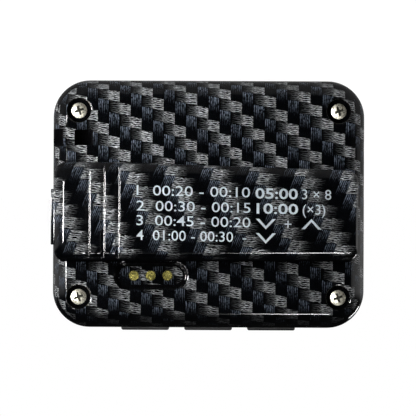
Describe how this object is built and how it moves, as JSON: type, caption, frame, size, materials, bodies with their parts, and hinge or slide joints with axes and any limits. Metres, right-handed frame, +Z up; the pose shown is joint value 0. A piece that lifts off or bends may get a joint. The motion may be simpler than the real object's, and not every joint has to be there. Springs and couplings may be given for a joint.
{
  "type": "interval timer",
  "caption": "Pocket interval timer in a carbon weave printed case with a display, push buttons on the top edge, a sprung belt clip, a lanyard bar and a charging recess.",
  "frame": {"origin": "centre of the flat bottom edge of the case, halfway through the case's depth", "axes": "+Z up towards the push buttons, +Y backwards out of the belt clip's side, +X to the right as the display is read from the front"},
  "size_m": [0.064, 0.0222, 0.0516],
  "materials": {
    "weave_print": "moulded black plastic with a printed carbon weave under satin lacquer",
    "seal_rubber": "soft dark grey silicone rubber",
    "screw_nickel": "nickel plated steel, slightly warm",
    "lens_acrylic": "clear hard-coated acrylic with a black border behind",
    "tape_black": "black adhesive film",
    "polariser_film": "grey-green film",
    "display_glass": "clear float glass",
    "segment_dark": "dark figure strokes",
    "light_guide": "milky light guide",
    "zebra_rubber": "layered rubber connector, pinkish grey",
    "frame_plastic": "light grey moulded plastic",
    "board_green": "green solder mask over glass fibre board",
    "chip_black": "black moulding compound",
    "crystal_can": "bright drawn metal can",
    "passive_ceramic": "brown ceramic chips",
    "button_black": "black moulded plastic, fine satin texture",
    "plunger_tan": "tan moulded plastic",
    "disc_brass": "bright rolled brass",
    "ceramic_white": "silvered white ceramic",
    "lead_sheath": "soft sheath of thin leads",
    "steel_bright": "ground bright steel",
    "weight_tungsten": "sintered heavy metal",
    "boot_rubber": "black soft rubber",
    "pouch_foil": "satin laminated foil",
    "foam_tape": "white foam tape",
    "plug_nylon": "natural nylon",
    "contact_gold": "gold plated brass",
    "magnet_nickel": "nickel plated magnet",
    "spring_steel": "drawn spring wire"
  },
  "bodies": {
    "case": {"front_shell": "weave_print", "rear_cover": "weave_print", "case_seal": "seal_rubber", "case_screws": "screw_nickel", "display_lens": "lens_acrylic", "lens_tape": "tape_black", "lcd_polarisers": "polariser_film", "lcd_glass": "display_glass", "lcd_segments": "segment_dark", "backlight_panel": "light_guide", "zebra_strips": "zebra_rubber", "lcd_frame": "frame_plastic", "main_board": "board_green", "board_screws": "screw_nickel", "microcontroller": "chip_black", "timing_crystal": "crystal_can", "board_passives": "passive_ceramic", "charge_controller": "chip_black", "switch_housings": "chip_black", "buzzer_disc": "disc_brass", "buzzer_ceramic": "ceramic_white", "buzzer_leads": "lead_sheath", "motor_can": "steel_bright", "motor_boot": "boot_rubber", "motor_leads": "lead_sheath", "battery_pouch": "pouch_foil", "battery_tape": "foam_tape", "protection_board": "board_green", "battery_plug": "plug_nylon", "battery_leads": "lead_sheath", "contact_board": "board_green", "charge_contacts": "contact_gold", "contact_leads": "lead_sheath", "charge_magnets": "magnet_nickel", "clip_spring": "spring_steel"},
    "clip": {"clip_lever": "weave_print", "clip_pin": "steel_bright"},
    "down_button": {"button_down": "button_black", "plunger_down": "plunger_tan"},
    "start_button": {"button_start": "button_black", "plunger_start": "plunger_tan"},
    "up_button": {"button_up": "button_black", "plunger_up": "plunger_tan"},
    "motor_rotor": {"motor_shaft": "steel_bright", "motor_weight": "weight_tungsten"}
  },
  "joints": [
    {"name": "clip_open", "type": "hinge", "parent": "case", "child": "clip", "pos_m": [-0.013, 0.0103, 0.0271], "axis": [0, 0, 1], "range_deg": [0, 12], "stiffness_Nm_per_rad": 0.3, "springref_deg": -14.32, "deforming": ["clip_spring"]},
    {"name": "down_press", "type": "slide", "parent": "case", "child": "down_button", "axis": [0, 0, -1], "range_m": [0, 0.0004], "stiffness_N_per_m": 1500, "springref_m": -0.0004},
    {"name": "start_press", "type": "slide", "parent": "case", "child": "start_button", "axis": [0, 0, -1], "range_m": [0, 0.0004], "stiffness_N_per_m": 1500, "springref_m": -0.0004},
    {"name": "up_press", "type": "slide", "parent": "case", "child": "up_button", "axis": [0, 0, -1], "range_m": [0, 0.0004], "stiffness_N_per_m": 1500, "springref_m": -0.0004},
    {"name": "motor_spin", "type": "hinge", "parent": "case", "child": "motor_rotor", "pos_m": [-0.012, 0.003, 0.0255], "axis": [1, 0, 0], "continuous": true}
  ]
}
